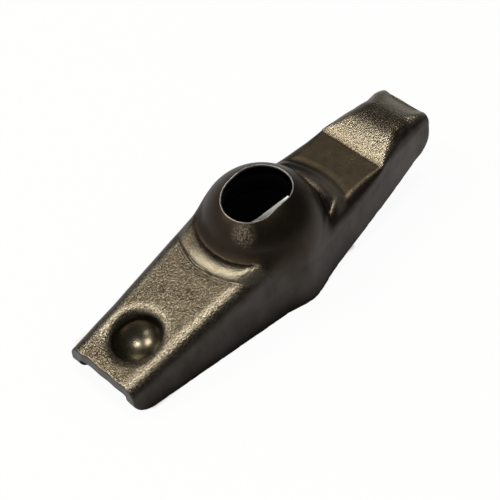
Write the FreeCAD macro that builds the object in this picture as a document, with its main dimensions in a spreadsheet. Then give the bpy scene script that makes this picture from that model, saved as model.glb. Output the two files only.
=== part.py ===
"""Stamped rocker arm: one piece of sheet steel, drawn into a ball-pivot dome between two channel arms.

The pressing is built as a sheet. Its outer form is modelled as a solid, like the die of a press tool.
The same form is modelled again one sheet thickness further in, like the punch, and cut out of the first.

Frame of the modelling: the stud axis is Z, the valve arm points along +X, the pushrod arm along -X,
and the origin is the centre of the dome, where the pivot ball turns. The whole piece is then turned
about Y until the lower edges of its pushrod arm lie level, as it comes to rest on a bench.
"""
import FreeCAD
import Part
import math
import os

import Sketcher
from FreeCAD import Vector

# Driving dimensions, in millimetres and degrees.
SIZES = {
    # sheet and dome
    "sheet_thickness": 2.0,
    "dome_radius": 9.5,
    "drum_step": 0.1,
    "draft_angle": 4.0,
    "root_radius": 1.0,
    "inner_root_radius": 1.0,
    "slot_width": 8.7,
    "slot_travel": 2.4,
    # bead pressed round the foot of the dome
    "bead_gap": 2.15,
    "bead_width": 2.3,
    "bead_height": 0.42,
    "bead_base": 1.7,
    "bead_sweep": 120.0,
    "bead_side_inset": 0.25,
    # pushrod arm
    "pushrod_length": 33.0,
    "pushrod_root_step": 0.5,
    "pushrod_plan_angle": 4.2,
    "pushrod_floor_height": 4.15,
    "pushrod_floor_angle": 7.0,
    "pushrod_bend_radius": 2.4,
    # cup for the end of the pushrod
    "cup_distance": 25.7,
    "cup_radius": 3.4,
    "cup_throat": 1.9,
    "cup_throat_angle": 12.0,
    "cup_seat_depth": 2.3,
    "cup_wall": 1.2,
    "cup_lip_radius": 1.3,
    # valve arm and its pad
    "valve_length": 32.6,
    "valve_root_step": 0.2,
    "valve_plan_angle": 8.0,
    "valve_floor_height": 0.3,
    "valve_floor_angle": 1.5,
    "valve_bend_radius": 2.4,
    "pad_setback": 6.7,
    "pad_height": 1.45,
    "pad_radius": 12.0,
    # lower edges of the side walls
    "rim_depth": 9.8,
    "pushrod_rim_angle": 7.9,
    "valve_rim_angle": 5.6,
    "rim_apex_radius": 8.0,
    "corner_radius": 2.9,
}

# Working allowances: how far a solid runs past what trims it at top and bottom and at the tips, how far
# the arms meet in the dome, and the slack of a bead in its envelope.
OVERRUN = 6.0
TIP_OVERRUN = 2.0
CORE_OVERLAP = 0.3
ENVELOPE_SLACK = 0.03

# How faces and edges are told apart: a side wall by how far it faces sideways, an edge on the ball or at
# its seam by how near it lies, and the lip of the cup by its reach from the cup's axis, in cup radii.
FACES_SIDEWAYS = 0.5
NEAR_BALL = 0.01
NEAR_SEAM = 0.001
LIP_REACH = (0.9, 1.5)

# The way each arm points along X.
WAY = {"pushrod": -1, "valve": 1}

doc = FreeCAD.newDocument("rocker_arm")
sheet = doc.addObject("Spreadsheet::Sheet", "sizes")
for row, (word, number) in enumerate(SIZES.items(), start=1):
    sheet.set("A%d" % row, word)
    sheet.set("B%d" % row, str(number))
    sheet.setAlias("B%d" % row, word)
doc.recompute()


def cell(word):
    """A driving dimension as an expression names it."""
    return "sizes." + word


def trig(function, word):
    """The sine, cosine or tangent of a driving angle, as an expression."""
    return "%s(%s * 1 deg)" % (function, cell(word))


def number_of(expression):
    """What an expression comes to with the present sizes."""
    return float(sheet.evalExpression(expression))


# How far the working solids reach: below the lowest edge, above the dome, and past either tip.
BOTTOM = "(%s + %g)" % (cell("rim_depth"), OVERRUN)
TOP = "(%s + %g)" % (cell("dome_radius"), OVERRUN)
REACH = {arm: "(%s + %g)" % (cell(arm + "_length"), TIP_OVERRUN) for arm in WAY}
PAD_CREST = "(%s - %s)" % (cell("valve_length"), cell("pad_setback"))


def base_plane(body, role):
    """One of the body's own origin planes."""
    return next(plane for plane in body.Origin.OriginFeatures if plane.Role == role)


def new_sketch(body, name, role):
    """An empty sketch on one of the body's origin planes."""
    sketch = body.newObject("Sketcher::SketchObject", body.Name + "_" + name)
    sketch.AttachmentSupport = [(base_plane(body, role), "")]
    sketch.MapMode = "FlatFace"
    return sketch


def hold(sketch, name, constraint, expression):
    """Add a dimension to the sketch and bind it to the sheet."""
    index = sketch.addConstraint(constraint)
    sketch.renameConstraint(index, name)
    sketch.setExpression("Constraints." + name, expression)


def pin(sketch, index, end, across, up):
    """Hold one point of the sketch at its place from the sketch's origin."""
    label = "point_%d_%d" % (index, end)
    for axis, expression in (("X", across), ("Y", up)):
        distance = Sketcher.Constraint("Distance" + axis, -1, 1, index, end, number_of(expression))
        hold(sketch, label + axis, distance, expression)


def draw_outline(sketch, corners):
    """Draw a closed outline through corners of the form (across, up) or (across, up, radius, turn).

    Each is an expression. With a radius, the edge that leaves the corner is an arc, and turn is 1
    where its centre lies on the left of the way round, or -1 where it lies on the right.
    """
    spots = [Vector(number_of(corner[0]), number_of(corner[1]), 0) for corner in corners]
    first = sketch.GeometryCount
    ends = []
    for place, corner in enumerate(corners):
        here = spots[place]
        there = spots[(place + 1) % len(spots)]
        if len(corner) == 2:
            sketch.addGeometry(Part.LineSegment(here, there), False)
            ends.append((1, 2))
            continue
        radius = number_of(corner[2])
        turn = corner[3]
        chord = there - here
        normal = Vector(-chord.y, chord.x, 0).normalize() * turn
        centre = (here + there) * 0.5 + normal * math.sqrt(radius ** 2 - (chord.Length / 2) ** 2)
        angles = [math.atan2(spot.y - centre.y, spot.x - centre.x) for spot in (here, there)]
        circle = Part.Circle(centre, Vector(0, 0, 1), radius)
        sketch.addGeometry(Part.ArcOfCircle(circle, *angles[::turn]), False)
        ends.append((1, 2)[::turn])
        bend = Sketcher.Constraint("Radius", first + place, radius)
        hold(sketch, "radius_%d" % (first + place), bend, corner[2])
    for place, corner in enumerate(corners):
        following = (place + 1) % len(corners)
        sketch.addConstraint(Sketcher.Constraint(
            "Coincident", first + place, ends[place][1], first + following, ends[following][0]))
        pin(sketch, first + place, ends[place][0], corner[0], corner[1])


def draw_axis(sketch, start, end):
    """Draw the construction line that a revolved feature of the sketch turns about."""
    spots = [Vector(number_of(point[0]), number_of(point[1]), 0) for point in (start, end)]
    index = sketch.addGeometry(Part.LineSegment(*spots), True)
    pin(sketch, index, 1, *start)
    pin(sketch, index, 2, *end)


def add_feature(body, kind, name, sketch):
    """A feature of the body that is made from a sketch."""
    made = body.newObject("PartDesign::" + kind, body.Name + "_" + name)
    made.Profile = sketch
    return made


def cut_through(body, name, sketch):
    """A pocket that runs both ways from its sketch, right through the body."""
    pocket = add_feature(body, "Pocket", name, sketch)
    pocket.Midplane = True
    pocket.Type = "ThroughAll"
    doc.recompute()


def round_edges(body, name, chosen, radius):
    """Fillet those edges of the body's tip that the test picks out."""
    tip = body.Tip
    edges = ["Edge%d" % place for place, edge in enumerate(tip.Shape.Edges, start=1)
             if not edge.Degenerated and chosen(edge)]
    fillet = body.newObject("PartDesign::Fillet", body.Name + "_" + name)
    fillet.Base = (tip, edges)
    fillet.setExpression("Radius", radius)
    doc.recompute()


def floor_height(arm, distance, inset="0"):
    """Height of an arm's flat top at a distance from the stud axis, this far inside the sheet."""
    return "(%s - (%s) / %s - (%s) * %s)" % (
        cell(arm + "_floor_height"), inset, trig("cos", arm + "_floor_angle"),
        distance, trig("tan", arm + "_floor_angle"))


def rim_height(arm, distance):
    """Height of the lower edge of an arm's side walls at a distance from the stud axis."""
    return "(%s * %s - %s)" % (distance, trig("tan", arm + "_rim_angle"), cell("rim_depth"))


def along(arm, distance):
    """Place along X of a point of an arm at a distance from the stud axis."""
    return "%d * (%s)" % (WAY[arm], distance)


def add_block(body, arm, wall_inset):
    """The drafted wedge of one arm, from below its lower edges to above the dome."""

    def half_width(distance):
        """Half width of the wedge at the height of the dome's middle."""
        return "(%s - %s - %s - (%s) * %s - (%s) / (%s * %s))" % (
            cell("dome_radius"), cell("drum_step"), cell(arm + "_root_step"),
            distance, trig("tan", arm + "_plan_angle"),
            wall_inset, trig("cos", "draft_angle"), trig("cos", arm + "_plan_angle"))

    root = "-%g" % CORE_OVERLAP
    stations = [(root, 1), (REACH[arm], 1), (REACH[arm], -1), (root, -1)]
    plan = new_sketch(body, arm + "_plan", "XY_Plane")
    draw_outline(plan, [(along(arm, distance), "%d * %s" % (hand, half_width(distance)))
                        for distance, hand in stations])
    plan.setExpression("AttachmentOffset.Base.z", "-" + BOTTOM)
    block = add_feature(body, "Pad", arm + "_block", plan)
    block.setExpression("Length", "%s + %s" % (BOTTOM, TOP))
    doc.recompute()
    walls = ["Face%d" % place for place, face in enumerate(block.Shape.Faces, start=1)
             if abs(face.normalAt(0, 0).y) > FACES_SIDEWAYS]
    draft = body.newObject("PartDesign::Draft", body.Name + "_draft")
    draft.Base = (block, walls)
    draft.NeutralPlane = (base_plane(body, "XY_Plane"), [""])
    draft.setExpression("Angle", cell("draft_angle"))
    doc.recompute()


def pad_profile(inset):
    """Corners of the valve arm's top: the crease, where the curved pad starts, and the pad's end."""
    radius = "(%s - (%s))" % (cell("pad_radius"), inset)
    centre = "(%s - %s)" % (cell("pad_height"), cell("pad_radius"))
    slope = trig("tan", "valve_floor_angle")
    rise = "(%s - %s)" % (floor_height("valve", "0", inset), centre)
    quadratic = "(1 + %s ^ 2)" % slope
    linear = "(%s + %s * %s)" % (PAD_CREST, slope, rise)
    constant = "(%s ^ 2 + %s ^ 2 - %s ^ 2)" % (PAD_CREST, rise, radius)
    crease = "((%s - sqrt(%s ^ 2 - %s * %s)) / %s)" % (linear, linear, quadratic, constant, quadratic)
    end_height = "(%s + sqrt(%s ^ 2 - (%s - %s) ^ 2))" % (centre, radius, REACH["valve"], PAD_CREST)
    return [(crease, floor_height("valve", crease, inset), radius, -1), (REACH["valve"], end_height)]


def cut_floor(body, arm, inset):
    """Take away what lies above the top of one arm."""
    root = "-%g" % CORE_OVERLAP
    corners = [(along(arm, root), floor_height(arm, root, inset))]
    if arm == "valve":
        corners += pad_profile(inset)
    else:
        corners += [(along(arm, REACH[arm]), floor_height(arm, REACH[arm], inset))]
    corners += [(along(arm, REACH[arm]), TOP), (along(arm, root), TOP)]
    profile = new_sketch(body, arm + "_profile", "XZ_Plane")
    draw_outline(profile, corners)
    cut_through(body, arm + "_floor", profile)


def round_bends(body, arm, radius):
    """Round the long bends between the top of one arm and its side walls."""
    low = -number_of(cell("rim_depth")) / 2

    def is_bend(edge):
        middle = edge.CenterOfMass
        long_way = edge.BoundBox.XLength > 2 * CORE_OVERLAP
        return long_way and middle.z > low and middle.x * WAY[arm] > 0 and abs(middle.y) > CORE_OVERLAP

    round_edges(body, arm + "_bends", is_bend, radius)


def drum(inset):
    """Radius of the drafted drum under the dome at its upper end, and that end's depth."""
    radius = "(%s - (%s))" % (cell("dome_radius"), inset)
    wall = "(%s - %s)" % (radius, cell("drum_step"))
    return wall, "sqrt(%s ^ 2 - %s ^ 2)" % (radius, wall)


def add_dome(body, inset):
    """The dome over the pivot ball: a ball that draws in a little under its middle, to a drafted drum."""
    radius = "(%s - (%s))" % (cell("dome_radius"), inset)
    wall, depth = drum(inset)
    foot = "(%s + (%s - %s) * %s)" % (wall, BOTTOM, depth, trig("tan", "draft_angle"))
    profile = new_sketch(body, "dome_profile", "XZ_Plane")
    draw_outline(profile, [
        ("0", "-" + BOTTOM), (foot, "-" + BOTTOM), (wall, "-" + depth, radius, 1), ("0", radius)])
    dome = add_feature(body, "Revolution", "dome", profile)
    dome.ReferenceAxis = (profile, ["V_Axis"])
    dome.Angle = 360
    doc.recompute()


def round_root(body, inset, blend):
    """Blend the foot of the dome into the two arms."""
    radius = number_of("%s - (%s)" % (cell("dome_radius"), inset))
    shoulder = number_of(drum(inset)[1])

    def is_root(edge):
        points = edge.discretize(7)
        on_ball = all(abs(point.Length - radius) < NEAR_BALL for point in points)
        at_seam = all(abs(point.y) < NEAR_SEAM for point in points)
        at_shoulder = all(point.z < NEAR_BALL - shoulder for point in points)
        return on_ball and not at_seam and not at_shoulder

    round_edges(body, "root", is_root, blend)


def sink_cup(body, wall):
    """The cup for the end of the pushrod: a short drafted throat over a spherical seat."""
    seat_radius = "((%s ^ 2 + %s ^ 2) / (2 * %s))" % (
        cell("cup_radius"), cell("cup_seat_depth"), cell("cup_seat_depth"))
    centre = "(%s - %s - %s + %s)" % (
        floor_height("pushrod", cell("cup_distance")), cell("cup_throat"), cell("cup_seat_depth"),
        seat_radius)
    throat_radius = "(%s + %s)" % (cell("cup_radius"), wall)
    ball_radius = "(%s + %s)" % (seat_radius, wall)
    edge_height = "(%s - sqrt(%s ^ 2 - %s ^ 2))" % (centre, ball_radius, throat_radius)
    axis = "(-%s)" % cell("cup_distance")
    side = "(%s + %s)" % (axis, throat_radius)
    flare = "(%s + (%s - %s) * %s)" % (side, TOP, edge_height, trig("tan", "cup_throat_angle"))
    profile = new_sketch(body, "cup_profile", "XZ_Plane")
    draw_outline(profile, [
        (axis, "%s - %s" % (centre, ball_radius), ball_radius, 1), (side, edge_height),
        (flare, TOP), (axis, TOP)])
    draw_axis(profile, (axis, "-1"), (axis, "1"))
    cup = add_feature(body, "Groove", "cup", profile)
    cup.ReferenceAxis = (profile, ["Axis0"])
    cup.Angle = 360
    doc.recompute()


def round_cup_lip(body):
    """Roll the lip of the cup over into the floor of the pushrod arm."""
    axis = -number_of(cell("cup_distance"))
    radius = number_of(cell("cup_radius"))
    low = number_of(floor_height("pushrod", cell("cup_distance"))) - number_of(cell("cup_throat")) / 2

    def is_lip(edge):
        points = edge.discretize(5)
        reach = [math.hypot(point.x - axis, point.y) / radius for point in points]
        near = LIP_REACH[0] < min(reach) and max(reach) < LIP_REACH[1]
        return near and edge.BoundBox.YLength > radius and all(point.z > low for point in points)

    round_edges(body, "cup_lip", is_lip, cell("cup_lip_radius"))


def cut_slot(body):
    """The slot for the stud, which lets the arm rock."""
    sketch = new_sketch(body, "slot_outline", "XY_Plane")
    half = number_of(cell("slot_width")) / 2
    shift = number_of(cell("slot_travel")) / 2
    up = Vector(0, 0, 1)
    ends = []
    for hand in (1, -1):
        start = -math.pi / 2 * hand
        arc = Part.ArcOfCircle(Part.Circle(Vector(shift * hand, 0, 0), up, half), start, start + math.pi)
        ends.append(sketch.addGeometry(arc, False))
    sides = []
    for hand in (1, -1):
        line = Part.LineSegment(Vector(shift * hand, half * hand, 0), Vector(-shift * hand, half * hand, 0))
        sides.append(sketch.addGeometry(line, False))
    for place in (0, 1):
        other = 1 - place
        sketch.addConstraint(Sketcher.Constraint("Tangent", ends[place], 2, sides[place], 1))
        sketch.addConstraint(Sketcher.Constraint("Tangent", sides[place], 2, ends[other], 1))
    pin(sketch, ends[0], 3, cell("slot_travel") + " / 2", "0")
    pin(sketch, ends[1], 3, "-%s / 2" % cell("slot_travel"), "0")
    hold(sketch, "end_radius", Sketcher.Constraint("Radius", ends[0], half), cell("slot_width") + " / 2")
    cut_through(body, "slot", sketch)


def trim_sides(body):
    """Shear the piece to length and cut the lower edges of its side walls to their rounded V."""
    tips = {arm: along(arm, cell(arm + "_length")) for arm in WAY}
    beyond = "(%s + 1)"
    half_turn = "(%s + %s) / 2" % tuple(cell(arm + "_rim_angle") for arm in WAY)
    apex_run = "%s * tan((%s) * 1 deg)" % (cell("rim_apex_radius"), half_turn)
    ends = {}
    for arm in WAY:
        corner_run = "%s * tan((90 - %s) / 2 * 1 deg)" % (cell("corner_radius"), cell(arm + "_rim_angle"))
        cosine = trig("cos", arm + "_rim_angle")
        near_tip = "(%s - %s * %s)" % (cell(arm + "_length"), corner_run, cosine)
        near_apex = "(%s * %s)" % (apex_run, cosine)
        ends[arm] = {
            "top": (tips[arm], beyond % TOP),
            "wall": (tips[arm], "%s + %s" % (rim_height(arm, cell(arm + "_length")), corner_run)),
            "tip": (along(arm, near_tip), rim_height(arm, near_tip)),
            "apex": (along(arm, near_apex), rim_height(arm, near_apex)),
        }
    left, right = (along(arm, beyond % REACH[arm]) for arm in WAY)
    under = "-" + beyond % BOTTOM
    corner = (cell("corner_radius"), -1)
    sketch = new_sketch(body, "side_outline", "XZ_Plane")
    draw_outline(sketch, [
        (left, beyond % TOP), (left, under), (right, under), (right, beyond % TOP),
        ends["valve"]["top"], ends["valve"]["wall"] + corner, ends["valve"]["tip"],
        ends["valve"]["apex"] + (cell("rim_apex_radius"), -1), ends["pushrod"]["apex"],
        ends["pushrod"]["tip"] + corner, ends["pushrod"]["wall"], ends["pushrod"]["top"],
    ])
    cut_through(body, "trim", sketch)


def arm_body(name, arm, wall_inset, floor_inset, bend_radius):
    """One arm as a solid: a drafted wedge under its top, with the long bends rounded."""
    body = doc.addObject("PartDesign::Body", name)
    add_block(body, arm, wall_inset)
    cut_floor(body, arm, floor_inset)
    round_bends(body, arm, bend_radius)
    return body


def form(name, inset, blend):
    """The pressing as a solid, this far inside its outer face: two arms that meet under a dome."""
    arms = doc.addObject("Part::MultiFuse", name + "_arms")
    arms.Shapes = [
        arm_body("%s_%s_arm" % (name, arm), arm, inset, inset, "%s - %s" % (cell(arm + "_bend_radius"), inset))
        for arm in WAY]
    doc.recompute()
    body = doc.addObject("PartDesign::Body", name)
    body.BaseFeature = arms
    doc.recompute()
    add_dome(body, inset)
    round_root(body, inset, blend)
    return body


def bead(arm):
    """Half of the bead round the dome: a ring on one arm's top that fades out over the two bends."""
    ring = doc.addObject("PartDesign::Body", arm + "_bead_ring")
    level = "(%s * %s)" % (cell(arm + "_floor_height"), trig("cos", arm + "_floor_angle"))
    dome_edge = "sqrt(%s ^ 2 - %s ^ 2)" % (cell("dome_radius"), level)
    middle = "(%s + %s)" % (dome_edge, cell("bead_gap"))
    half = "%s / 2" % cell("bead_width")
    radius = "((%s ^ 2 / 4 + %s ^ 2) / (2 * %s))" % (
        cell("bead_width"), cell("bead_height"), cell("bead_height"))
    sine = trig("sin", arm + "_floor_angle")
    cosine = trig("cos", arm + "_floor_angle")

    def on_floor(out, up):
        """A point by its distance from the dome's middle along the floor, and above the floor."""
        outward = "(%s * (%s + %s) + %s * (%s))" % (sine, level, up, cosine, out)
        return along(arm, outward), "(%s * (%s + %s) - %s * (%s))" % (cosine, level, up, sine, out)

    section = new_sketch(ring, "section", "XZ_Plane")
    inner = "%s - %s" % (middle, half)
    outer = "%s + %s" % (middle, half)
    below = "(-%s)" % cell("bead_base")
    draw_outline(section, [
        on_floor(inner, below), on_floor(outer, below), on_floor(outer, "0") + (radius, WAY[arm]),
        on_floor(inner, "0")])
    draw_axis(section, ("0", "0"), on_floor("0", "1"))
    turned = add_feature(ring, "Revolution", "turned", section)
    turned.ReferenceAxis = (section, ["Axis0"])
    turned.Midplane = True
    turned.setExpression("Angle", cell("bead_sweep"))
    doc.recompute()

    envelope = arm_body(
        arm + "_bead_envelope", arm, cell("bead_side_inset"),
        "-(%s + %g)" % (cell("bead_height"), ENVELOPE_SLACK),
        "%s + %s - %s" % (cell(arm + "_bend_radius"), cell("bead_height"), cell("bead_side_inset")))
    common = doc.addObject("Part::Common", arm + "_bead")
    common.Base = ring
    common.Tool = envelope
    doc.recompute()
    return common


outer_form = form("outer_form", "0", cell("root_radius"))
sink_cup(outer_form, "0")
round_cup_lip(outer_form)
cut_slot(outer_form)
trim_sides(outer_form)

inner_form = form("inner_form", cell("sheet_thickness"), cell("inner_root_radius"))
sink_cup(inner_form, cell("cup_wall"))

beaded = doc.addObject("Part::MultiFuse", "beaded_form")
beaded.Shapes = [outer_form] + [bead(arm) for arm in WAY]
rocker_arm = doc.addObject("Part::Cut", "rocker_arm")
rocker_arm.Base = beaded
rocker_arm.Tool = inner_form
rocker_arm.Label = "rocker_arm"
rocker_arm.Placement.Rotation = FreeCAD.Rotation(Vector(0, 1, 0), -number_of(cell("pushrod_rim_angle")))
doc.recompute()

# Every object has to be sound before anything is written.
for thing in doc.Objects:
    if "Invalid" in thing.State or "Error" in thing.State:
        raise RuntimeError("%s failed: %s" % (thing.Name, thing.State))
shape = rocker_arm.Shape
if shape.isNull() or not shape.isValid() or len(shape.Solids) != 1:
    raise RuntimeError("the rocker arm isn't one sound solid")

os.makedirs("parts", exist_ok=True)
shape.exportStep(os.path.join("parts", rocker_arm.Label + ".step"))
box = shape.optimalBoundingBox(False)
print("rocker_arm: %.1f mm3, %.1f x %.1f x %.1f mm" % (shape.Volume, box.XLength, box.YLength, box.ZLength))
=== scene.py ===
# %% [markdown]
# # A stamped rocker arm
#
# A rocker arm turns the push of a pushrod into the push on a valve. This one is pressed from a single
# sheet of steel: a hollow dome in the middle sits on a ball, one arm has a cup for the pushrod, the
# other a curved pad for the valve stem. Nothing is welded, bolted or glued to it, so the whole lesson is
# about one surface: how a sheet flows over a die, and what tumbling, oil and handling do to bare steel.
#
# The lesson goes camera first, then the form, then the finish, then the light.

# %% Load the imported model
import bpy
import math
import numpy as np
from mathutils import Matrix, Vector


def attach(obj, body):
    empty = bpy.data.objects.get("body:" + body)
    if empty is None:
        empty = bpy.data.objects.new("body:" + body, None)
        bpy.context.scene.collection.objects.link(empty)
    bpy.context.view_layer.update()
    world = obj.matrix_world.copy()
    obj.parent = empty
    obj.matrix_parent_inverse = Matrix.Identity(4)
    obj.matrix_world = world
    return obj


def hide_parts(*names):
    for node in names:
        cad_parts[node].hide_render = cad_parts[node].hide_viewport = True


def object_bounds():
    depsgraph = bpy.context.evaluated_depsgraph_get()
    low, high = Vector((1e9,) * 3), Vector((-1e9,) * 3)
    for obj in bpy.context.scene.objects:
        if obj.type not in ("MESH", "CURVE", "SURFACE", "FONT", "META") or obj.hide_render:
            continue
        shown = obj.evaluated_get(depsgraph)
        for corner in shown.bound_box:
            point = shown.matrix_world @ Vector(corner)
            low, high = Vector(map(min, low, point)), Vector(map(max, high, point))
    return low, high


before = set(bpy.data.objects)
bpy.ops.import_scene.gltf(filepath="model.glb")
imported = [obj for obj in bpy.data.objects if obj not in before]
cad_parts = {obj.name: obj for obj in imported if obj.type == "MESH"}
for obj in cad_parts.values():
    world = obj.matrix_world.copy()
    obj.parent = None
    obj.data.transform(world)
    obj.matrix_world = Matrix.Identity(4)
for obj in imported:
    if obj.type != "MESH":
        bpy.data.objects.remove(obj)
cad_low, cad_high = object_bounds()
print("packed model", [round(1000 * (b - a), 2) for a, b in zip(cad_low, cad_high)], "mm")

# %% [markdown]
# ## Two frames
#
# The die of a pressing is drawn with the stud axis upright. On the bench the arm rolls over by a few
# degrees until the lower edges of its long arm lie flat. All forms below are written in the upright
# frame, in millimetres, because their numbers are simple there. One small rotation, and a division by
# a thousand, then takes each point to where it lies on the bench.

# %% From the die's frame to the bench
MM = 0.001
REST_LEAN = math.radians(-7.9)
to_bench = Matrix.Rotation(REST_LEAN, 3, "Y")


def on_bench(points):
    """Points of the die's frame, in millimetres, as places on the bench, in metres."""
    return np.asarray(points) @ np.array(to_bench).T * MM


print("a point on top of the dome lies at", on_bench([0, 0, 9.5]).round(5))

# %% [markdown]
# ## The camera
#
# A short telephoto, from about twenty centimetres, looks down on the arm from the pushrod's side. The
# numbers came from matching some twenty points of the real thing, such as the ends of the slot and of
# the crease.

# %% Camera
IMAGE_WIDTH = 500
FOCAL_PIXELS = 1324.59
azimuth, elevation, roll = (math.radians(angle) for angle in (-38.5625, 52.6408, -9.6843))
back = Vector((math.sin(azimuth) * math.cos(elevation), -math.cos(azimuth) * math.cos(elevation),
               math.sin(elevation)))
level = Vector((math.cos(azimuth), math.sin(azimuth), 0))
steep = back.cross(level)
right = level * math.cos(roll) + steep * math.sin(roll)
up = steep * math.cos(roll) - level * math.sin(roll)
turned = to_bench @ Matrix((right, up, back)).transposed()

camera_data = bpy.data.cameras.new("camera")
camera_data.sensor_width = 36
camera_data.lens = FOCAL_PIXELS * camera_data.sensor_width / IMAGE_WIDTH
camera_data.clip_start = 0.01
camera_data.clip_end = 20
camera = bpy.data.objects.new("camera", camera_data)
camera.matrix_world = turned.to_4x4()
camera.location = on_bench([-77.973, -94.075, 154.617])
bpy.context.scene.collection.objects.link(camera)
bpy.context.scene.camera = camera
print("lens %.1f mm at %.0f mm from the dome" % (camera_data.lens, camera.location.length / MM))

# %% [markdown]
# ## A form described by distance
#
# A drawn pressing has few edges. Everything flows into everything else with a fillet, and modelling that
# with polygons by hand means chasing dozens of loops. So the form is written as a distance: a function
# that says for any point how far it is outside the steel, and is negative inside. Two such functions
# meet in a rounded edge or a fillet with one line of arithmetic each, and the sheet is simply what lies
# between the outer form and the same form two millimetres further in.

# %% Distance arithmetic
def round_and(a, b, radius):
    """What lies inside both forms, its edge rounded to this radius."""
    outside = np.hypot(np.maximum(a + radius, 0), np.maximum(b + radius, 0))
    return np.minimum(np.maximum(a, b), -radius) + outside


def round_or(a, b, radius):
    """What lies inside either form, the corner between them filled to this radius."""
    inside = np.hypot(np.maximum(radius - a, 0), np.maximum(radius - b, 0))
    return np.maximum(np.minimum(a, b), radius) - inside


def soft_or(a, b, reach):
    """What lies inside either form, for faces that meet at a flat angle, where a fillet would swell."""
    share = np.maximum(reach - np.abs(a - b), 0) / reach
    return np.minimum(a, b) - share * share * reach / 4


def ease(low, high, value):
    """Nothing below low, one above high, and a smooth way between them."""
    share = np.clip((value - low) / (high - low), 0, 1)
    return share * share * (3 - 2 * share)


def bell(middle, reach, value):
    """One at the middle, fading to nothing at this reach on both sides."""
    return 1 - ease(0, reach, np.abs(value - middle))


def tangent(degrees):
    return math.tan(math.radians(degrees))


def cosine(degrees):
    return math.cos(math.radians(degrees))


print("corner of two faces, rounded by 2 mm:", round(float(round_and(np.array(0.0), np.array(0.0), 2.0)), 3))

# %% [markdown]
# ## The dome
#
# The ball that the arm turns on sits inside the dome, so the dome is a true sphere down to its middle,
# and below that a drum with a little draft, as the punch has to come out again. The slot in its top is
# longer along the arm than across it, which lets the arm rock on its stud.

# %% Dome and slot
SHEET = 2.0
DRAFT = 4.0
DOME_RADIUS = 9.5
DRUM_STEP = 0.1
SLOT_HALF = 4.35
SLOT_SHIFT = 1.2


def dome(x, y, z, inset):
    radius = DOME_RADIUS - inset
    wall = radius - DRUM_STEP
    depth = math.sqrt(radius ** 2 - wall ** 2)
    ball = np.sqrt(x * x + y * y + z * z) - radius
    drum = (np.hypot(x, y) - (wall - (z + depth) * tangent(DRAFT))) * cosine(DRAFT)
    return np.minimum(ball, np.maximum(drum, z + depth))


def slot(x, y):
    return np.hypot(np.maximum(np.abs(x) - SLOT_SHIFT, 0), y) - SLOT_HALF


print("slot %.1f by %.1f mm" % (2 * (SLOT_HALF + SLOT_SHIFT), 2 * SLOT_HALF))

# %% [markdown]
# ## The two arms
#
# Each arm is a channel: a top, two drafted side walls, and a long bend between them. The pushrod arm's
# top falls away from the dome. The valve arm's top is nearly level up to a sharp crease, where the
# pad starts, hardened and curved so that it can roll on the valve stem. The press gathers steel at the
# crease, so its bends pinch in there, open out beside the crest of the pad, and tighten to the tip,
# whose corners flare a little.
#
# Round the foot of the dome runs a shallow bead. It stiffens the joint of dome and arm, and it is the
# brightest thing on the piece, because it faces the light on its way over and because a painted highlight
# lies on its crest.

# %% Tops of the arms
PAD_CREST = 25.9
PAD_HEIGHT = 1.45
PAD_RADIUS = 12.0
CREASE = 19.82
VALVE_LENGTH = 32.6
PUSHROD_LENGTH = 33.0
ARMS = {
    "pushrod": {"way": -1, "height": 4.15, "fall": 7.0, "root": 8.9, "plan": 4.2},
    "valve": {"way": 1, "height": 0.3, "fall": 1.5, "root": 9.2, "plan": 8.0},
}
BEAD_GAP = 2.1
BEAD_HALF = 1.5
BEAD_HEIGHT = 0.55


def ring_radius(arm):
    """Radius of the bead's crest, measured along the arm's top from under the dome."""
    level = arm["height"] * cosine(arm["fall"])
    return math.sqrt(DOME_RADIUS ** 2 - level ** 2) + BEAD_GAP


def floor_frame(x, y, z, arm):
    """Height above an arm's top as it starts from the dome, and distance out from the dome's middle."""
    out = x * arm["way"]
    sine, cos = math.sin(math.radians(arm["fall"])), cosine(arm["fall"])
    above = out * sine + z * cos - arm["height"] * cos
    return above, np.hypot(out * cos - z * sine, y)


def bead(ring, arm, wall):
    """How high the bead stands, which fades where the top turns down into the side walls."""
    middle = ring_radius(arm)
    share = np.clip(1 - ((ring - middle) / BEAD_HALF) ** 2, 0, 1)
    dip = 0.06 * bell(middle - 1.7, 0.9, ring) + 0.08 * bell(middle + 1.9, 1.2, ring)
    return (BEAD_HEIGHT * share * ease(0, 0.25, share) - dip) * ease(-0.4, -2.6, wall)


print("bead crests at %.2f and %.2f mm" % tuple(ring_radius(arm) for arm in ARMS.values()))

# %% Side walls and bends
TIP_FLARE = 0.3
INNER_BEND = 0.45


def side_wall(x, y, z, arm):
    half = arm["root"] - x * arm["way"] * tangent(arm["plan"]) - z * tangent(DRAFT)
    half = half + TIP_FLARE * ease(28.5, 32.5, x)
    return (np.abs(y) - half) * cosine(arm["plan"]) * cosine(DRAFT)


def bend_radius(x, name):
    """The long bend's radius, which the crease pinches and the pad's crest opens out."""
    if name == "pushrod":
        return np.interp(-x, [0, 24, 33], [2.4, 2.4, 1.9])
    return np.interp(x, [0, 12, 17, 19.6, 20.2, 22.5, 26, 29, 31, 33],
                     [2.4, 2.2, 1.5, 0.75, 0.55, 1.9, 3.0, 2.7, 1.7, 1.2])


def valve_top(x, y, z, wall):
    """Distance above the valve arm's top: the level part, and past the crease the curved pad."""
    arm = ARMS["valve"]
    flat, ring = floor_frame(x, y, z, arm)
    flat = flat - bead(ring, arm, wall)
    ear = 0.5 * ease(28.6, 32.2, x) * ease(-3.4, -0.6, wall) - 0.12 * ease(30, 32.4, x)
    pad = np.hypot(x - PAD_CREST, z - ear - (PAD_HEIGHT - PAD_RADIUS)) - PAD_RADIUS
    return np.minimum(flat, pad)


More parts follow.
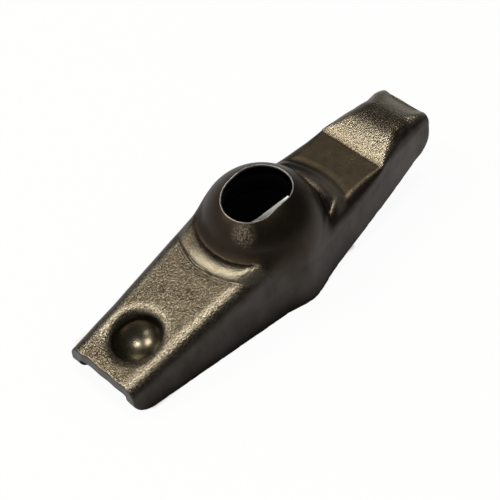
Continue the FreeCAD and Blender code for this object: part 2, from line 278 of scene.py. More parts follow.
def arm_form(x, y, z, name, inset, plain):
    """One arm as a solid under its top. The inner form is plain, without bead or ears."""
    arm = ARMS[name]
    wall = side_wall(x, y, z, arm)
    if name == "valve" and not plain:
        top = valve_top(x, y, z, wall)
    elif name == "valve":
        level = floor_frame(x, y, z, arm)[0]
        top = np.minimum(level, np.hypot(x - PAD_CREST, z - (PAD_HEIGHT - PAD_RADIUS)) - PAD_RADIUS)
    else:
        above, ring = floor_frame(x, y, z, arm)
        top = above if plain else above - bead(ring, arm, wall)
    bend = INNER_BEND if inset else bend_radius(x, name)
    return round_and(top + inset, wall + inset, bend)


def both_arms(x, y, z, inset, plain):
    """The two arms, one passing into the other inside the dome."""
    side = ease(-2.5, 2.5, x)
    forms = [arm_form(x, y, z, name, inset, plain) for name in ("pushrod", "valve")]
    return (1 - side) * forms[0] + side * forms[1]


print("valve arm's bend %.2f mm at the crease, %.2f mm at the crest"
      % tuple(bend_radius(np.array([20.2, PAD_CREST]), "valve")))

# %% [markdown]
# ## The cup
#
# The pushrod's ball end turns in a spherical seat. Above it the punch leaves a short cone, and the top
# of the arm is dragged down into it, so there is no edge anywhere, only a funnel. It is
# wider towards the tip of the arm, where less steel held the sheet back.

# %% Cup
CUP_DISTANCE = 25.7
CUP_RADIUS = 3.4
CUP_THROAT = 1.9
SEAT_DEPTH = 2.3
CUP_WALL = 1.2
THROAT_FLARE = 5.0
SEAT_RADIUS = (CUP_RADIUS ** 2 + SEAT_DEPTH ** 2) / (2 * SEAT_DEPTH)
CUP_TOP = ARMS["pushrod"]["height"] - CUP_DISTANCE * tangent(ARMS["pushrod"]["fall"])
SEAT_CENTRE = CUP_TOP - CUP_THROAT - SEAT_DEPTH + SEAT_RADIUS


def cup_void(x, y, z, wall):
    """The hollow of the cup, or with a wall the outside of the steel round it."""
    across = np.hypot(x + CUP_DISTANCE, y)
    edge = SEAT_CENTRE - math.sqrt((SEAT_RADIUS + wall) ** 2 - (CUP_RADIUS + wall) ** 2)
    ball = np.sqrt(across ** 2 + (z - SEAT_CENTRE) ** 2) - SEAT_RADIUS - wall
    cone = (across - CUP_RADIUS - wall - (z - edge) * tangent(THROAT_FLARE)) * cosine(THROAT_FLARE)
    return np.where(z < edge, ball, cone)


def lip_radius(x):
    return 1.3 + 0.9 * ease(2.0, -4.5, x + CUP_DISTANCE)


print("cup: seat of %.2f mm radius, %.2f mm below the top of the arm"
      % (SEAT_RADIUS, CUP_THROAT + SEAT_DEPTH))

# %% [markdown]
# ## Shearing to length
#
# The last stroke of the press shears the blank to its outline: two square tips, and lower edges that
# rise towards them from a rounded low point under the dome. A sheared edge is never quite straight. The
# pushrod tip has a small jog near its far corner. Both cut faces lean outwards a little, the pushrod's
# towards its foot and the valve's towards its top, which brings the tips closer to the real outline.

# %% Outline of the blank
RIM_DEPTH = 9.8
RIM_RISE = {"pushrod": 7.9, "valve": 5.6}
APEX_BLEND = 0.3
CORNER_RADIUS = 2.9
LEAN_OUT = 0.09
JOG = 0.16
PUSHROD_TRIM = 0.22
VALVE_TRIM = 0.02


def shear(x, y, z):
    rims = {name: (x * ARMS[name]["way"] * tangent(rise) - RIM_DEPTH - z) * cosine(rise)
            for name, rise in RIM_RISE.items()}
    rim = -soft_or(-rims["pushrod"], -rims["valve"], APEX_BLEND)
    jog = JOG * ease(3.2, 4.3, y) + 0.03 * np.sin(1.9 * y + 0.6)
    pushrod_tip = -x - (PUSHROD_LENGTH - PUSHROD_TRIM + jog) + LEAN_OUT * np.clip(z, -3, 0)
    ripple = 0.02 * np.sin(1.3 * y)
    valve_tip = x - (VALVE_LENGTH - VALVE_TRIM + ripple + LEAN_OUT * np.clip(z + 4, 0, 5))
    tips = np.maximum(pushrod_tip, valve_tip)
    return round_and(rim, tips, CORNER_RADIUS)


print("sheared outline from %.1f to %.1f mm" % (-PUSHROD_LENGTH, VALVE_LENGTH))

# %% [markdown]
# ## The whole pressing
#
# Now the pieces come together. The fillet at the foot of the dome is a press radius; the sheared edges
# are broken only by tumbling, a quarter of a millimetre. A little waviness goes over all outer faces,
# less than a hair's breadth, because no drawn sheet reflects like a lathe-turned part. The skin is drawn
# in by a twentieth of a millimetre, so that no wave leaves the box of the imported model. The valve arm is
# set a third of a millimetre to one side, which is where both its edges appear on the real one.

# %% Pressing as one distance
ROOT_FILLET = 1.15
WALL_BLEND = 0.6
DRAW_IN = 0.05
EDGE_BREAK = 0.22
INNER_BREAK = 0.1
SIDE_SET = 0.3
WAVE_HEIGHT = 0.0065
WAVE_COUNT = 14
WAVE_RATE = 0.55
waves = np.random.default_rng(7)
WAVE_WAYS = waves.normal(size=(WAVE_COUNT, 3)) * WAVE_RATE
WAVE_STARTS = waves.uniform(0, 2 * math.pi, WAVE_COUNT)


def waviness(x, y, z):
    total = np.zeros_like(x)
    for way, start in zip(WAVE_WAYS, WAVE_STARTS):
        total += np.sin(way[0] * x + way[1] * y + way[2] * z + start)
    return WAVE_HEIGHT * total


def outer_form(x, y, z):
    arms = both_arms(x, y, z, 0, False)
    crown = dome(x, y, z, 0)
    side = ease(-5.0, 5.0, x)
    top = (1 - side) * ARMS["pushrod"]["height"] + side * ARMS["valve"]["height"]
    upper = ease(-4.2, -0.8, z - top)
    form = upper * round_or(arms, crown, ROOT_FILLET) + (1 - upper) * soft_or(arms, crown, WALL_BLEND)
    return round_and(form + DRAW_IN, -cup_void(x, y, z, 0), lip_radius(x))


def inner_form(x, y, z):
    form = round_or(both_arms(x, y, z, SHEET, True), dome(x, y, z, SHEET), ROOT_FILLET)
    return np.maximum(form, -cup_void(x, y, z, CUP_WALL))


def pressing(points):
    """Distance outside the steel, for points of the die's frame."""
    x, z = points[..., 0], points[..., 2]
    y = points[..., 1] + SIDE_SET * ease(6, 22, x)
    sheet = round_and(outer_form(x, y, z) + waviness(x, y, z), -inner_form(x, y, z), INNER_BREAK)
    return round_and(round_and(sheet, -slot(x, y), EDGE_BREAK), shear(x, y, z), EDGE_BREAK)


print("distance at two points inside the sheet:", pressing(np.array([[7.5, 0, 4], [0, 6, 6.2]])).round(2))

# %% [markdown]
# ## From distance to mesh
#
# A grid of sample points finds where the distance changes sign. Each grid cell that the surface passes
# through gets one vertex, and each grid edge that it crosses gets one four-sided face. The result is
# even and closed. Three passes of smoothing along the surface, each after a step onto it, make the
# quads nearly square, and two last steps put every point where the distance is nought.

# %% Sample the distance
PITCH = 0.262
GRID_LOW = np.array([-33.9, -10.7, -10.6])
GRID_HIGH = np.array([33.5, 10.7, 10.2])
axes = [np.arange(low, high + PITCH, PITCH) for low, high in zip(GRID_LOW, GRID_HIGH)]
layers = (np.stack(np.meshgrid([along], axes[1], axes[2], indexing="ij"), axis=-1) for along in axes[0])
values = np.stack([pressing(layer)[0] for layer in layers])
print("sampled a grid of", values.shape)


# %% Net of faces
def surface_net(values):
    """Vertices, in grid steps, and four-sided faces of the surface where the values pass zero."""
    cells = np.array(values.shape)
    totals = np.zeros((cells.prod(), 4))
    faces = []
    for axis in range(3):
        first, second = (axis + 1) % 3, (axis + 2) % 3
        start = [slice(None)] * 3
        end = [slice(None)] * 3
        start[axis] = slice(None, -1)
        end[axis] = slice(1, None)
        here, there = values[tuple(start)], values[tuple(end)]
        place = np.argwhere((here < 0) != (there < 0))
        near, far = here[tuple(place.T)], there[tuple(place.T)]
        crossing = place.astype(float)
        crossing[:, axis] += near / (near - far)
        ring = []
        for across, along in ((0, 0), (-1, 0), (-1, -1), (0, -1)):
            cell = place.copy()
            cell[:, first] += across
            cell[:, second] += along
            name = np.ravel_multi_index(cell.T, cells)
            for column in range(3):
                totals[:, column] += np.bincount(name, crossing[:, column], len(totals))
            totals[:, 3] += np.bincount(name, minlength=len(totals))
            ring.append(name)
        ring = np.stack(ring, axis=1)
        ring[near >= 0] = ring[near >= 0][:, ::-1]
        faces.append(ring)
    used = np.flatnonzero(totals[:, 3])
    number = np.zeros(len(totals), dtype=np.int64)
    number[used] = np.arange(len(used))
    return totals[used, :3] / totals[used, 3:], number[np.concatenate(faces)]


net, quads = surface_net(values)
points = GRID_LOW + net * PITCH
print("net of %d points and %d faces" % (len(points), len(quads)))


# %% Settle the net on the surface
SMOOTHING_TURNS = 3
SMOOTHING_SHARE = 0.45


def slope(points, step=0.03):
    """Direction in which the distance grows fastest, by small differences."""
    found = np.empty_like(points)
    for axis in range(3):
        shift = np.zeros(3)
        shift[axis] = step
        found[:, axis] = (pressing(points + shift) - pressing(points - shift)) / (2 * step)
    return found


def settle(points):
    steep = slope(points)
    return points - steep * (pressing(points) / np.maximum((steep ** 2).sum(axis=1), 0.2))[:, None]


sides = np.concatenate([quads[:, [0, 1]], quads[:, [1, 2]], quads[:, [2, 3]], quads[:, [3, 0]]])
counts = np.bincount(sides[:, 0], minlength=len(points))[:, None]


def middles(points):
    """The middle of each vertex's neighbours."""
    return np.stack([np.bincount(sides[:, 0], points[sides[:, 1], axis], len(points))
                     for axis in range(3)], axis=1) / counts


for turn in range(SMOOTHING_TURNS):
    points = settle(points)
    points += SMOOTHING_SHARE * (middles(points) - points)
points = settle(settle(points))
normals = slope(points)
normals /= np.linalg.norm(normals, axis=1)[:, None]
print("settled to within %.3f mm" % np.abs(pressing(points)).max())

# %% [markdown]
# ## Marking the zones of the finish
#
# Tumbling, oil and wear depend on where a point lies: on the top of an arm, on the dome, inside, or on a
# sheared face, and so does the painted shade on the inside, in the funnel of the cup and in hollows. The
# form knows this best, so each vertex keeps a few numbers between nought and one that the material reads
# later.
# Only soft borders are kept this way; sharp ones come from formulas.

# %% Zones
x, y, z = points.T
upright = normals[:, 2]
faces_up = np.where(x < 0, ease(0.45, 0.85, upright),
                    np.where(x < CREASE, ease(0.90, 0.985, upright), ease(0.55, 0.92, upright)))
on_ball = bell(0, 1.3, np.linalg.norm(points, axis=1) - DOME_RADIUS) * ease(-2.0, 1.5, z)
ring_on_mesh = floor_frame(x, y, z, ARMS["valve"])[1]
inner = inner_form(x, y, z)
outer = outer_form(x, y, z)
inside = ease(0.25, 0.08, np.abs(inner)) * ease(-0.3, -0.8, outer)
cut = ease(0.14, 0.05, np.minimum(np.abs(shear(x, y, z)), np.abs(slot(x, y)))) * ease(-0.02, -0.14, outer)
level_part = ease(13.1, 13.9, ring_on_mesh) * ease(CREASE + 0.05, CREASE - 0.15, x) * (x > 0)
from_cup = np.hypot(x + CUP_DISTANCE, y)
# the funnel of the cup, where painted shade goes
funnel_shade = ease(4.15, 3.7, from_cup) * ease(CUP_TOP - 0.8, CUP_TOP - 1.4, z) * (1 - inside)
seat = ease(4.3, 3.5, from_cup) * ease(CUP_TOP - 1.3, CUP_TOP - 2.3, z) * (1 - inside)
zones = {"top": faces_up * (1 - on_ball), "level": level_part, "inside": inside, "cut": cut, "seat": seat,
         "ball": on_ball, "funnel_shade": funnel_shade, "skin": ease(-0.45, -0.20, outer)}


def smoothed(field, turns):
    """A field of the vertices, averaged with its neighbours this many times."""
    for turn in range(turns):
        field = 0.5 * field + 0.5 * np.bincount(sides[:, 0], field[sides[:, 1]], len(field)) / counts[:, 0]
    return field


bulge = smoothed(-((middles(points) - points) * normals).sum(axis=1) / PITCH ** 2, 3)
zones["edge"] = ease(0.10, 0.45, bulge)
# concave places, which the material darkens as painted shade
zones["hollow"] = ease(0.04, 0.22, -bulge)
print({name: round(float(field.mean()), 3) for name, field in zones.items()})

# %% [markdown]
# ## The piece
#
# The mesh replaces the plain imported solid on screen; that one stays for collision, hidden. The piece
# carries normals taken straight from the distance, so that a quarter-millimetre edge shades as a round one
# even though the mesh is hardly finer than that.

# %% Build the piece
mesh = bpy.data.meshes.new("rocker_arm_pressing")
mesh.vertices.add(len(points))
mesh.vertices.foreach_set("co", on_bench(points).ravel())
mesh.loops.add(4 * len(quads))
mesh.loops.foreach_set("vertex_index", quads.ravel())
mesh.polygons.add(len(quads))
mesh.polygons.foreach_set("loop_start", np.arange(0, 4 * len(quads), 4))
mesh.update(calc_edges=True)
mesh.validate()
mesh.shade_smooth()
mesh.normals_split_custom_set_from_vertices((normals @ np.array(to_bench).T).tolist())
for name, field in zones.items():
    mesh.attributes.new(name, "FLOAT", "POINT").data.foreach_set("value", field.astype(np.float32))
pressing_piece = bpy.data.objects.new("rocker_arm_pressing", mesh)
bpy.context.scene.collection.objects.link(pressing_piece)
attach(pressing_piece, "root")
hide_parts("rocker_arm")
print("piece of %d triangles" % (2 * len(mesh.polygons)))

# %% [markdown]
# ## Writing materials as sums
#
# A material is arithmetic on masks and colours. Wired by hand it is a cobweb, so one small class wraps a
# socket and lets plus, minus and times write the nodes. The workbench class adds any other node from its
# type, its settings and what goes into its sockets.

# %% Sockets with arithmetic
class Wire:
    """A number on its way through a material."""

    def __init__(self, bench, socket):
        self.bench = bench
        self.socket = socket

    def _with(self, operation, first, second):
        made = self.bench.node("ShaderNodeMath", {"operation": operation}, {0: first, 1: second})
        return Wire(self.bench, made.outputs[0])

    def __add__(self, other):
        return self._with("ADD", self, other)

    def __radd__(self, other):
        return self._with("ADD", other, self)

    def __sub__(self, other):
        return self._with("SUBTRACT", self, other)

    def __rsub__(self, other):
        return self._with("SUBTRACT", other, self)

    def __mul__(self, other):
        return self._with("MULTIPLY", self, other)

    def __rmul__(self, other):
        return self._with("MULTIPLY", other, self)

    def __truediv__(self, other):
        return self._with("DIVIDE", self, other)

    def __pow__(self, other):
        return self._with("POWER", self, other)

    def __abs__(self):
        return self._with("ABSOLUTE", self, 0)

    def least(self, other):
        return self._with("MINIMUM", self, other)

    def most(self, other):
        return self._with("MAXIMUM", self, other)


# %% Workbench for a material
class Bench:
    """The node tree of one material or of the world."""

    def __init__(self, tree):
        self.tree = tree
        tree.nodes.clear()

    def node(self, kind, settings=None, sockets=None):
        """Add a node: its settings go first, then the values or wires of its sockets."""
        made = self.tree.nodes.new(kind)
        for name, value in (settings or {}).items():
            setattr(made, name, value)
        for name, value in (sockets or {}).items():
            self.feed(made.inputs[name], value)
        return made

    def feed(self, socket, value):
        if isinstance(value, Wire):
            value = value.socket
        if isinstance(value, bpy.types.NodeSocket):
            self.tree.links.new(value, socket)
        else:
            socket.default_value = value

    def field(self, name):
        """A number that the mesh carries."""
        made = self.node("ShaderNodeAttribute", {"attribute_name": name})
        return Wire(self, made.outputs["Fac"])

    def noise(self, place, scale, detail=2.0, roughness=0.5, distortion=0.0):
        made = self.node("ShaderNodeTexNoise", None, {
            "Vector": place, "Scale": scale, "Detail": detail, "Roughness": roughness,
            "Distortion": distortion})
        return Wire(self, made.outputs["Fac"])

    def cells(self, place, scale, feature="F1", smoothness=None):
        settings = {"feature": feature}
        sockets = {"Vector": place, "Scale": scale}
        if smoothness is not None:
            sockets["Smoothness"] = smoothness
        return Wire(self, self.node("ShaderNodeTexVoronoi", settings, sockets).outputs["Distance"])

    def ease(self, low, high, value):
        """The same smooth step as the one for the mesh."""
        made = self.node("ShaderNodeMapRange", {"interpolation_type": "SMOOTHSTEP"}, {
            "Value": value, "From Min": low, "From Max": high})
        return Wire(self, made.outputs["Result"])

    def between(self, low, high, share):
        """A number that goes from low to high with the share."""
        return share * (high - low) + low

    def mix(self, share, first, second):
        """Two colours mixed."""
        made = self.node("ShaderNodeMix", {"data_type": "RGBA"}, {0: share, 6: first, 7: second})
        return made.outputs[2]

    def stretch(self, place, scale):
        """A place stretched along the axes, for streaks."""
        made = self.node("ShaderNodeVectorMath", {"operation": "MULTIPLY"}, {0: place, 1: scale})
        return made.outputs[0]

    def rays(self):
        """Whether a ray comes from the camera, and whether it is mirrored or passes through."""
        path = self.node("ShaderNodeLightPath")
        mirrored = Wire(self, path.outputs["Is Glossy Ray"]) + path.outputs["Is Transmission Ray"]
        return Wire(self, path.outputs["Is Camera Ray"]), mirrored.least(1)


steel = bpy.data.materials.new("tumbled_pressed_steel")
steel.use_nodes = True
bench = Bench(steel.node_tree)
print("started material", steel.name)

# %% [markdown]
# ## Where on the piece
#
# The formulas below speak millimetres of the die's frame, the same as the form did. A Mapping node turns
# the object's coordinates upright again. From there the distance to the slot or to the crest
# of the bead is the same arithmetic as before, now for every point of the surface.

# %% Places in the shader
object_place = bench.node("ShaderNodeTexCoord").outputs["Object"]
place = bench.node("ShaderNodeMapping", {"vector_type": "POINT"}, {
    "Vector": object_place, "Rotation": (0, -REST_LEAN, 0), "Scale": (1 / MM,) * 3}).outputs["Vector"]
split = bench.node("ShaderNodeSeparateXYZ", None, {0: place})
px, py, pz = (Wire(bench, split.outputs[axis]) for axis in range(3))


def length(first, second):
    return (first * first + second * second) ** 0.5


def wire_ring(arm):
    sine, cos = math.sin(math.radians(arm["fall"])), cosine(arm["fall"])
    return length(px * (arm["way"] * cos) - pz * sine, py)


slot_distance = length((abs(px) - SLOT_SHIFT).most(0), py) - SLOT_HALF
bead_ring = wire_ring(ARMS["pushrod"]) - ring_radius(ARMS["pushrod"])
pushrod_side = bench.ease(0.5, -0.5, px)
valve_side = 1 - pushrod_side
print("formulas for slot and bead ready")

# %% [markdown]
# ## Grain and wear
#
# Hot scale and the tumbling barrel leave the tops of the arms like fine orange peel, about half a
# millimetre from dimple to dimple. Drawing stretches the dome and the walls smooth again and leaves only
# faint streaks in the direction of the draw. The level part by the crease was ironed flat by the die.
# At the foot of the bead the sheet has folded into two or three hairline creases.

# %% Masks of the zones
(top, level_field, inside_field, cut_field, seat_field, ball_field, funnel_shade_field, skin_field, edge_field,
 hollow_shade_field) = (bench.field(name) for name in zones)
valve_ring = wire_ring(ARMS["valve"])
cup_ring = length(px + CUP_DISTANCE, py)
valve_root = valve_side * bench.ease(14.6, 13.4, valve_ring)
grainy = top * (1 - level_field) * (1 - seat_field) * (1 - valve_root)
at_slot = bench.ease(0.26, 0.12, slot_distance) * bench.ease(5.0, 6.0, pz)
rim = at_slot * skin_field
print("%d zones read from the mesh" % len(zones))

# %% Masks of single places, for painted highlights and painted shade
BEND_INSET = 1.8
LIP_RING = 4.5
VALVE_BEAD_RING = 12.5
# painted highlight: a gold spot on the dome below the slot, where the grain relief is also stronger
DOME_HIGHLIGHT_SPOT = (-6.2, -3.2, 6.5)
dome_highlight_patch = bench.ease(2.4, 0.6, length(length(px - DOME_HIGHLIGHT_SPOT[0], py - DOME_HIGHLIGHT_SPOT[1]), pz - DOME_HIGHLIGHT_SPOT[2]))
# painted shade in the valley between the bead and the dome
valley_shade = pushrod_side * bench.ease(-0.75, -1.3, bead_ring) * bench.ease(-3.4, -2.4, bead_ring)
# painted highlight on the crest of the bead
crest = pushrod_side * bench.ease(1.5, 0.5, abs(bead_ring - 0.45)) * top * bench.ease(4.5, 0.5, py)
bend_line = abs(py) - px * tangent(ARMS["pushrod"]["plan"]) - ARMS["pushrod"]["root"] + BEND_INSET
# painted highlight along the near bend of the pushrod arm
bend = pushrod_side * top * bench.ease(1.2, 0.2, abs(bend_line)) * bench.ease(-10.5, -13.0, px)
# painted shade along the far bend of the pushrod arm
far_bend_shade = pushrod_side * bench.ease(-0.5, 0.4, bend_line) * bench.ease(1.0, 3.0, py)
# painted highlight on the lip of the cup, on its side towards the dome
lip_highlight = bench.ease(1.0, 0.2, abs(cup_ring - LIP_RING)) * bench.ease(-3.0, 1.0, px + py + CUP_DISTANCE)
# painted highlight on the bead of the valve arm, on its near side
valve_bead_highlight = (valve_side * bench.ease(1.5, 0.3, abs(valve_ring - VALVE_BEAD_RING))
               * bench.ease(3.0, -3.0, py) * bench.ease(-1.0, -0.2, pz) * bench.ease(13.6, 13.0, valve_ring))
# painted highlight on the start of the pad
pad_start_highlight = bench.ease(0.0, 1.0, px - CREASE) * bench.ease(6.0, 3.5, px - CREASE)
# painted shade on the crest of the pad
pad_crest_shade = bench.ease(2.6, 1.0, abs(px - PAD_CREST - 0.5))
# painted highlight near the tip of the pad
pad_tip_highlight = bench.ease(28.3, 29.5, px)
print("places of the bead, the bends, the cup and the pad marked")

# %% Patterns
peel = bench.cells(place, 3.4, "SMOOTH_F1", 0.6)
pebble = bench.noise(place, 3.6, 3.0, 0.55)
fine = bench.noise(place, 11.0, 2.0, 0.6)
sharp = bench.noise(place, 6.5, 2.0, 0.5)
broad = bench.noise(place, 0.28, 3.0, 0.55)
patch = bench.noise(place, 0.75, 3.0, 0.6)
streaks = bench.noise(bench.stretch(place, (1.4, 1.4, 0.22)), 1.1, 4.0, 0.6)
scratches = bench.noise(bench.stretch(place, (0.35, 6.0, 3.0)), 1.2, 2.0, 0.5)
BEAD_FOLDS = [(1.52, 0.09, 0.055), (1.88, 0.07, 0.03), (2.25, 0.06, 0.018)]
wobble = (bench.noise(place, 0.5, 2.0) - 0.5) * 0.35
fold_relief = sum(bench.ease(half, 0, abs(bead_ring + wobble - offset)) * depth
                  for offset, half, depth in BEAD_FOLDS)
fold_dark = fold_relief / BEAD_FOLDS[0][2]
folds_here = pushrod_side * top * bench.ease(-8.5, -6.5, py) * bench.ease(-6.3, -7.3, px)
pits = bench.ease(0.16, 0.05, bench.cells(place, 0.9)) * bench.ease(0.55, 0.68, patch)
print("grain, streaks, %d folds and pits" % len(BEAD_FOLDS))

# %% Height of the relief, in millimetres
relief = grainy * ((pebble - 0.5) * 0.095 + (peel - 0.3) * 0.035 + (sharp - 0.5) * 0.030)
relief = relief + dome_highlight_patch * (pebble - 0.5) * 0.10
relief = relief + (fine - 0.5) * bench.between(0.003, 0.010, grainy)
relief = relief + (streaks - 0.5) * 0.030 * (1 - grainy)
relief = relief + (scratches - 0.5) * 0.010
relief = relief - folds_here * fold_relief - pits * 0.02 * (1 - inside_field)
bump = bench.node("ShaderNodeBump", None, {"Strength": 1.0, "Distance": MM, "Height": relief})
print("relief feeds one bump")

# %% [markdown]
# ## Colour and gloss
#
# Bare steel after hardening and oil is not grey. It is a warm, dark bronze-brown where the thin scale
# stayed, and pale where tumbling rubbed it off: on the peaks of the grain, along every outer edge, and
# on the cut faces. Roughness follows: grainy tops are a little smoother than the walls, and the inside is
# dull with dried oil.
#
# The lamps alone don't make a few places as bright or as dark as they are on the real piece. There light
# and shade are painted into the colour. Painted highlights in gold go on the start and the end of the pad,
# the near bend, the lip of the cup, the crest of the bead, the bead of the valve arm and a spot of the dome
# below the slot. Painted shade in brown goes in the valley by the dome and the funnel of the cup, on the far
# bend, on the crest of the pad and in hollows, and painted shade in near black on the inside, on the slot's
# cut face and in the folds by the bead. The list runs from the bottom coat to the top one.

# %% Colours
# scale left on the steel, and also the colour of painted shade in the valley, the funnel, hollows, the far
# bend and the pad's crest
SCALE_AND_SHADE_BROWN = (0.055, 0.042, 0.033, 1)
SMOOTH_GREY = (0.080, 0.069, 0.060, 1)
DOME_BROWN = (0.056, 0.042, 0.030, 1)
FLAT_OLIVE = (0.215, 0.172, 0.112, 1)
GRAIN_BRONZE = (0.150, 0.124, 0.084, 1)
# rubbed steel on the peaks of the grain and on edges, and also the colour of the painted highlights
WEAR_AND_HIGHLIGHT_GOLD = (0.480, 0.430, 0.335, 1)
SEAT_BRONZE = (0.200, 0.178, 0.135, 1)
SHEARED_GREY = (0.150, 0.140, 0.130, 1)
BRIGHT_STEEL = (0.620, 0.600, 0.570, 1)
# painted shade: near black where shade falls, on the inside, on the slot's cut face and in the folds by the
# bead
SHADE_BLACK = (0.012, 0.010, 0.009, 1)

wall_tone = bench.ease(0.3, 0.7, broad)
wall_colour = bench.mix(wall_tone, SCALE_AND_SHADE_BROWN, SMOOTH_GREY)
wall_colour = bench.mix(bench.ease(0.35, 0.75, streaks) * 0.5, wall_colour, SMOOTH_GREY)
wall_colour = bench.mix(ball_field * 0.8, wall_colour, DOME_BROWN)
grain_colour = bench.mix(bench.ease(0.42, 0.68, pebble) * 0.6, GRAIN_BRONZE, WEAR_AND_HIGHLIGHT_GOLD)
grain_colour = bench.mix(bench.ease(0.45, 0.30, patch) * 0.45, grain_colour, SCALE_AND_SHADE_BROWN)
peaks = bench.ease(0.32, 0.6, pebble)
coats = [
    (grainy, grain_colour),
    # painted highlight on the start of the pad
    (pad_start_highlight * grainy * 0.6, WEAR_AND_HIGHLIGHT_GOLD),
    (level_field * top * 0.9, FLAT_OLIVE),
    (edge_field * 0.25 * top * (1 - level_field), WEAR_AND_HIGHLIGHT_GOLD),
    # painted shade in hollows
    (hollow_shade_field * 0.55, SCALE_AND_SHADE_BROWN),
    # painted highlight on the dome below the slot
    (dome_highlight_patch * bench.ease(0.40, 0.62, pebble) * 0.5, WEAR_AND_HIGHLIGHT_GOLD),
    # painted highlight on the lip of the cup
    (lip_highlight * peaks * 0.85, WEAR_AND_HIGHLIGHT_GOLD),
    # painted highlight along the near bend
    (bend * peaks * 0.8, WEAR_AND_HIGHLIGHT_GOLD),
    # painted highlight on the valve arm's bead
    (valve_bead_highlight * (1 - level_field) * 0.5, WEAR_AND_HIGHLIGHT_GOLD),
    # painted shade on the crest of the pad
    (pad_crest_shade * grainy * 0.45, SCALE_AND_SHADE_BROWN),
    # painted highlight near the tip of the pad
    (pad_tip_highlight * grainy * 0.55, WEAR_AND_HIGHLIGHT_GOLD),
    # painted shade along the far bend
    (far_bend_shade * 0.75, SCALE_AND_SHADE_BROWN),
    # painted highlight on the crest of the bead
    (crest * 0.75, WEAR_AND_HIGHLIGHT_GOLD),
    # painted shade in the valley between the bead and the dome
    (valley_shade * 0.75, SCALE_AND_SHADE_BROWN),
    # painted shade in the funnel of the cup
    (funnel_shade_field * 0.85, SCALE_AND_SHADE_BROWN),
    (seat_field, SEAT_BRONZE),
    # painted shade in the folds by the bead
    ((folds_here * fold_dark * 0.8).least(1), SHADE_BLACK),
    (cut_field * 0.8, SHEARED_GREY),
    # painted shade on the slot's cut face, below its bright rim
    (at_slot * (1 - skin_field), SHADE_BLACK),
    (rim * bench.between(0.7, 1.0, bench.ease(0.35, 0.6, pebble)), BRIGHT_STEEL),
    # painted shade: the inside is near black
    (inside_field * 0.9, SHADE_BLACK),
]
colour = wall_colour
for share, coat in coats:
    colour = bench.mix(share, colour, coat)
print("%d coats of colour" % len(coats))

# %% Gloss and the finished material
WALL_ROUGHNESS = 0.37
GRAIN_ROUGHNESS = 0.31
roughness = bench.between(WALL_ROUGHNESS, GRAIN_ROUGHNESS, grainy)
roughness = roughness + (patch - 0.5) * 0.14 + (fine - 0.5) * 0.08
roughness = roughness + inside_field * 0.2 - cut_field * 0.05 - seat_field * 0.07 + rim * 0.25
roughness = roughness + valley_shade * 0.1
principled = bench.node("ShaderNodeBsdfPrincipled", None, {
    "Base Color": colour, "Metallic": 1.0, "Roughness": roughness.most(0.2).least(0.8),
    "Normal": bump.outputs["Normal"]})
bench.node("ShaderNodeOutputMaterial", None, {"Surface": principled.outputs[0]})
mesh.materials.append(steel)
print("finish of %d nodes" % len(steel.node_tree.nodes))

# %% [markdown]
# ## Floor and backdrop
#
# The arm lies on a plain pale sheet. Seen by the camera the sheet is nearly pure white and keeps only
# a breath of shadow round the arm, as on a page of a parts catalogue. Under the arm no light
# arrives, so there the paper must not glow, or it would shine up through the slot. What the steel mirrors
# of the paper close by is dim for the same reason.

# %% Floor
FLOOR_LEVEL = float(cad_low.z)
FLOOR_REACH = 2.5
floor_mesh = bpy.data.meshes.new("floor")
floor_mesh.from_pydata([(x * FLOOR_REACH, y * FLOOR_REACH, FLOOR_LEVEL)
                        for x, y in ((-1, -1), (1, -1), (1, 1), (-1, 1))], [], [(0, 1, 2, 3)])
floor = bpy.data.objects.new("floor", floor_mesh)
bpy.context.scene.collection.objects.link(floor)

paper = bpy.data.materials.new("white_paper")
paper.use_nodes = True
paper_bench = Bench(paper.node_tree)
camera_ray, mirrored = paper_bench.rays()
diffuse = paper_bench.node("ShaderNodeBsdfDiffuse", None, {"Color": (0.86, 0.86, 0.86, 1)})
glow = paper_bench.node("ShaderNodeEmission", None, {"Color": (1, 1, 1, 1), "Strength": 1.0})
unlit = paper_bench.node("ShaderNodeEmission", None, {"Color": (0, 0, 0, 1), "Strength": 1.0})
floor_place = paper_bench.node("ShaderNodeSeparateXYZ", None, {
    0: paper_bench.node("ShaderNodeTexCoord").outputs["Object"]})
floor_x, floor_y = (Wire(paper_bench, floor_place.outputs[axis]) / MM for axis in "XY")


def clear_of(middle, half_length, aside, half_width):
    """How far a point of the floor lies outside an oblong under the arm, in millimetres."""
    along = (abs(floor_x - middle) - half_length).most(0)
    across = (abs(floor_y - aside) - half_width).most(0)
    return (along * along + across * across) ** 0.5


def blend(share, first, second):
    """The first shader, and with a growing share the second."""
    return paper_bench.node("ShaderNodeMixShader", None, {
        0: share, 1: first.outputs[0], 2: second.outputs[0]})


PAPER_WHITE = 0.94
STEEL_SEES = 0.62
# painted shadow: the glow that the camera sees is taken away in an oblong under and round the arm
open_to_eye = paper_bench.between(0.05, 1.0, paper_bench.ease(0.0, 1.2, clear_of(-8.0, 21.0, 1.5, 8.0)))
# painted shadow in what the steel mirrors: the paper is dim under the arm and fades back within six
# millimetres of it
under_arm = clear_of(0.0, 29.0, 0.0, 9.0 - abs(floor_x) * 0.1)
open_to_steel = paper_bench.between(0.02, STEEL_SEES, paper_bench.ease(0.0, 6.0, under_arm))
by_eye = blend(camera_ray * open_to_eye * PAPER_WHITE, diffuse, glow)
by_steel = blend(open_to_steel, unlit, glow)
whole = blend(mirrored, by_eye, by_steel)
paper_bench.node("ShaderNodeOutputMaterial", None, {"Surface": whole.outputs[0]})
floor_mesh.materials.append(paper)
print("floor at %.3f mm" % (FLOOR_LEVEL / MM))

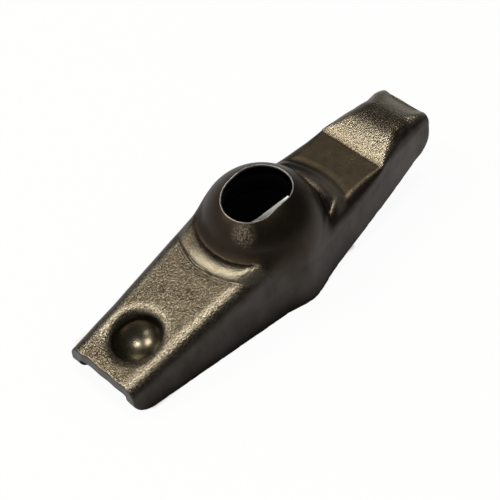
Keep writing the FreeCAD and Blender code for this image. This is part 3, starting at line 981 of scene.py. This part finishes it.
# %% [markdown]
# ## The studio
#
# Dark polished steel shows its surroundings more than its colour. Three warm softboxes light it. The
# largest stands high on the far side and lights the start of the pad. A small strong one overhead lights
# the bead, the near bend and the bottom of the cup, and a low one beyond the pushrod's end lights the
# spot on the dome below the slot. Painted highlights in the colour add to the lamps on most of these places.
# The rest of the room is quiet: pale at the far horizon, a darker ceiling above, so the top of the dome and
# the level part of the valve arm stay dark.

# %% World
world = bpy.data.worlds.new("studio")
bpy.context.scene.world = world
world.use_nodes = True
room = Bench(world.node_tree)
direction = room.node("ShaderNodeSeparateXYZ", None, {
    0: room.node("ShaderNodeTexCoord").outputs["Generated"]})
rise = Wire(room, direction.outputs["Z"])
depth = Wire(room, direction.outputs["Y"])
CEILING = 0.06
HORIZON = 0.38
SOFT_FILL = 0.45
horizon = room.ease(0.62, 0.12, rise) * room.between(0.10, 1.0, room.ease(-0.15, 0.45, depth))
camera_ray, mirrored = room.rays()
strength = camera_ray.most(mirrored * room.between(CEILING, HORIZON, horizon)).most(
    (1 - camera_ray.most(mirrored)) * SOFT_FILL)
white = room.node("ShaderNodeBackground", None, {"Color": (1, 1, 1, 1), "Strength": strength})
room.node("ShaderNodeOutputWorld", None, {"Surface": white.outputs[0]})
print("room: dim above, pale at the horizon")


# %% Softboxes
LAMP_DISTANCE = 0.6


def softbox(name, way, side, level, colour):
    """A square soft lamp that stands in this direction of the die's frame and looks at the arm."""
    lamp = bpy.data.lights.new(name, "AREA")
    lamp.shape = "SQUARE"
    lamp.size = side
    lamp.energy = level * math.pi * side * side
    lamp.color = colour
    lamp_object = bpy.data.objects.new(name, lamp)
    towards = (to_bench @ Vector(way)).normalized()
    lamp_object.location = towards * LAMP_DISTANCE
    lamp_object.rotation_euler = towards.to_track_quat("Z", "Y").to_euler()
    bpy.context.scene.collection.objects.link(lamp_object)
    print("%s: %.1f W" % (name, lamp.energy))


softbox("key_softbox", (-0.42, 0.47, 0.77), 0.22, 8.5, (1.0, 0.93, 0.80))
softbox("overhead_softbox", (0.14, -0.02, 0.99), 0.12, 32.0, (1.0, 0.95, 0.86))
softbox("low_softbox", (-0.82, 0.02, 0.57), 0.12, 6.0, (1.0, 0.93, 0.82))

# %% View
bpy.context.scene.view_settings.view_transform = "Standard"
